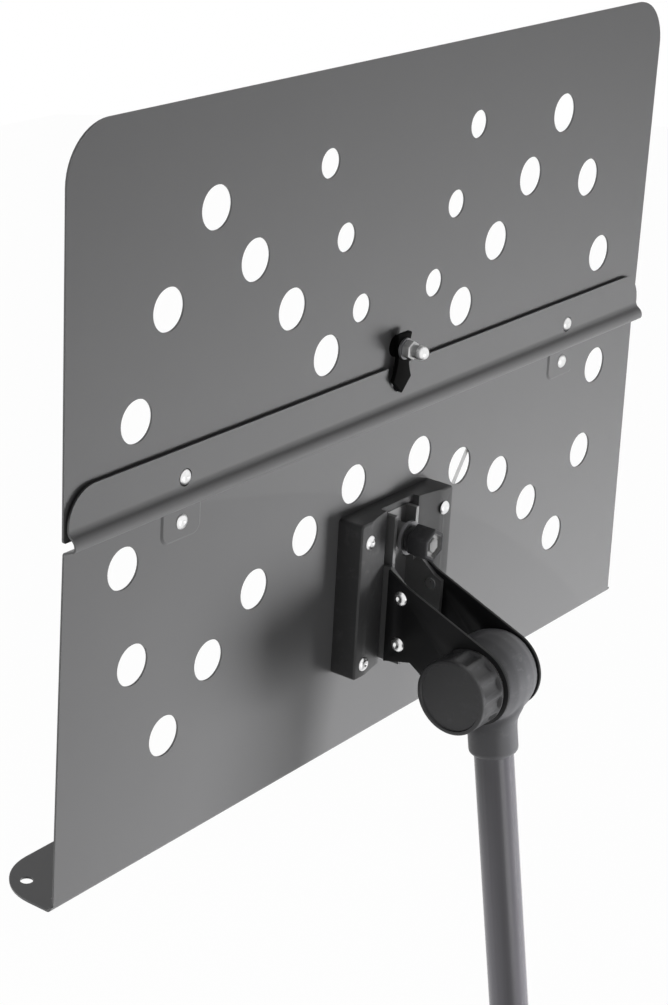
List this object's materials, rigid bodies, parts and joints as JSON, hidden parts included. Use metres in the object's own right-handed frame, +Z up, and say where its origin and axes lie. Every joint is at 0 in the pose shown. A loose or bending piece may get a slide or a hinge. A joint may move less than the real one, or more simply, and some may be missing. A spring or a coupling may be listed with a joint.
{
  "type": "music stand",
  "caption": "Orchestra music stand with a folding perforated steel desk, tilting fork arm, height clutch and swing-out legs.",
  "frame": {"origin": "on the floor, under the middle of the stand's overall box", "axes": "+Z up; -Y towards the reader, where the music lies; +X to the reader's right"},
  "size_m": [0.483, 0.4214, 1.1387],
  "materials": {
    "desk_steel": "satin dark grey powder coat",
    "moulded_black": "satin moulded black",
    "black_steel": "satin black coat",
    "bright_steel": "bright zinc plate",
    "latch_black": "black coat",
    "grey_moulded": "dark grey glass-filled nylon",
    "knob_grey": "dark grey moulded, satin",
    "knob_black": "black moulded, satin",
    "upper_tube_steel": "dark grey polished coat on steel tube",
    "base_steel": "satin black coat",
    "clutch_moulded": "black glass-filled nylon",
    "nylon": "natural nylon",
    "foot_rubber": "black rubber",
    "spring_wire": "bright spring wire"
  },
  "bodies": {
    "column": {"lower_tube": "base_steel", "clutch_housing": "clutch_moulded", "clutch_liner": "nylon", "clutch_shoe": "nylon", "base_spindle": "base_steel", "base_washer": "bright_steel", "base_nut": "bright_steel", "leg_front": "base_steel", "foot_front": "foot_rubber"},
    "height_knob": {"height_knob": "knob_black"},
    "leg_left": {"leg_left": "base_steel", "foot_left": "foot_rubber"},
    "leg_right": {"leg_right": "base_steel", "foot_right": "foot_rubber"},
    "carriage": {"guide_bush": "nylon"},
    "mast": {"upper_tube": "upper_tube_steel", "tilt_head": "grey_moulded", "head_screw": "bright_steel"},
    "fork": {"fork_bracket": "black_steel", "arm_plate_left": "black_steel", "arm_plate_right": "black_steel", "arm_rivets": "bright_steel", "tilt_bolt": "bright_steel", "friction_washers": "nylon", "knob_washer": "bright_steel", "clamp_washer": "bright_steel"},
    "tilt_knob": {"tilt_knob": "knob_grey"},
    "clamp_knob": {"clamp_knob": "knob_black"},
    "desk": {"lower_panel": "desk_steel", "dock": "moulded_black", "dock_rivets": "bright_steel", "hinge_lower_leaf_left": "bright_steel", "hinge_lower_leaf_right": "bright_steel", "hinge_pins": "bright_steel", "hinge_rivets_lower": "bright_steel", "page_wire_pins": "bright_steel"},
    "upper_desk": {"upper_panel": "desk_steel", "hinge_upper_leaf_left": "bright_steel", "hinge_upper_leaf_right": "bright_steel", "hinge_rivets_upper": "bright_steel", "latch_bolt": "bright_steel", "latch_spacer": "bright_steel", "latch_washer": "bright_steel", "latch_nut": "bright_steel"},
    "latch": {"latch_plate": "latch_black"},
    "page_wire_left": {"page_wire_left": "spring_wire"},
    "page_wire_right": {"page_wire_right": "spring_wire"}
  },
  "joints": [
    {"name": "height_knob_turn", "type": "hinge", "parent": "column", "child": "height_knob", "pos_m": [0, 0.06625, 0.538], "axis": [1, 0, 0], "continuous": true},
    {"name": "leg_left_swing", "type": "hinge", "parent": "column", "child": "leg_left", "pos_m": [0, 0.06625, 0.065], "axis": [0, 0, 1], "range_deg": [0, 108]},
    {"name": "leg_right_swing", "type": "hinge", "parent": "column", "child": "leg_right", "pos_m": [0, 0.06625, 0.048], "axis": [0, 0, 1], "range_deg": [-108, 0]},
    {"name": "height_slide", "type": "slide", "parent": "column", "child": "carriage", "axis": [0, 0, 1], "range_m": [-0.135, 0.18]},
    {"name": "mast_turn", "type": "hinge", "parent": "carriage", "child": "mast", "pos_m": [0, 0.06625, 0.5], "axis": [0, 0, 1], "continuous": true},
    {"name": "desk_tilt", "type": "hinge", "parent": "mast", "child": "fork", "pos_m": [0, 0.06625, 0.835], "axis": [-1, 0, 0], "range_deg": [-20, 81]},
    {"name": "tilt_knob_turn", "type": "hinge", "parent": "fork", "child": "tilt_knob", "pos_m": [0, 0.06625, 0.835], "axis": [1, 0, 0], "continuous": true},
    {"name": "clamp_knob_turn", "type": "hinge", "parent": "fork", "child": "clamp_knob", "pos_m": [0, 0.02377, 0.90045], "axis": [0, 0.9877, -0.1564], "continuous": true},
    {"name": "desk_lift_off", "type": "slide", "parent": "fork", "child": "desk", "axis": [0, 0.1564, 0.9877], "range_m": [0, 0.09]},
    {"name": "desk_fold", "type": "hinge", "parent": "desk", "child": "upper_desk", "pos_m": [0, 0.01519, 0.96327], "axis": [1, 0, 0], "range_deg": [0, 167]},
    {"name": "latch_turn", "type": "hinge", "parent": "upper_desk", "child": "latch", "pos_m": [0, 0.02663, 0.99719], "axis": [0, 0.9877, -0.1564], "range_deg": [-45, 45]},
    {"name": "page_wire_left_swing", "type": "hinge", "parent": "desk", "child": "page_wire_left", "pos_m": [-0.007, -0.01011, 0.80609], "axis": [0, 0.9877, -0.1564], "range_deg": [-49, 10]},
    {"name": "page_wire_right_swing", "type": "hinge", "parent": "desk", "child": "page_wire_right", "pos_m": [0.007, -0.01011, 0.80609], "axis": [0, 0.9877, -0.1564], "range_deg": [-52, 0]}
  ]
}
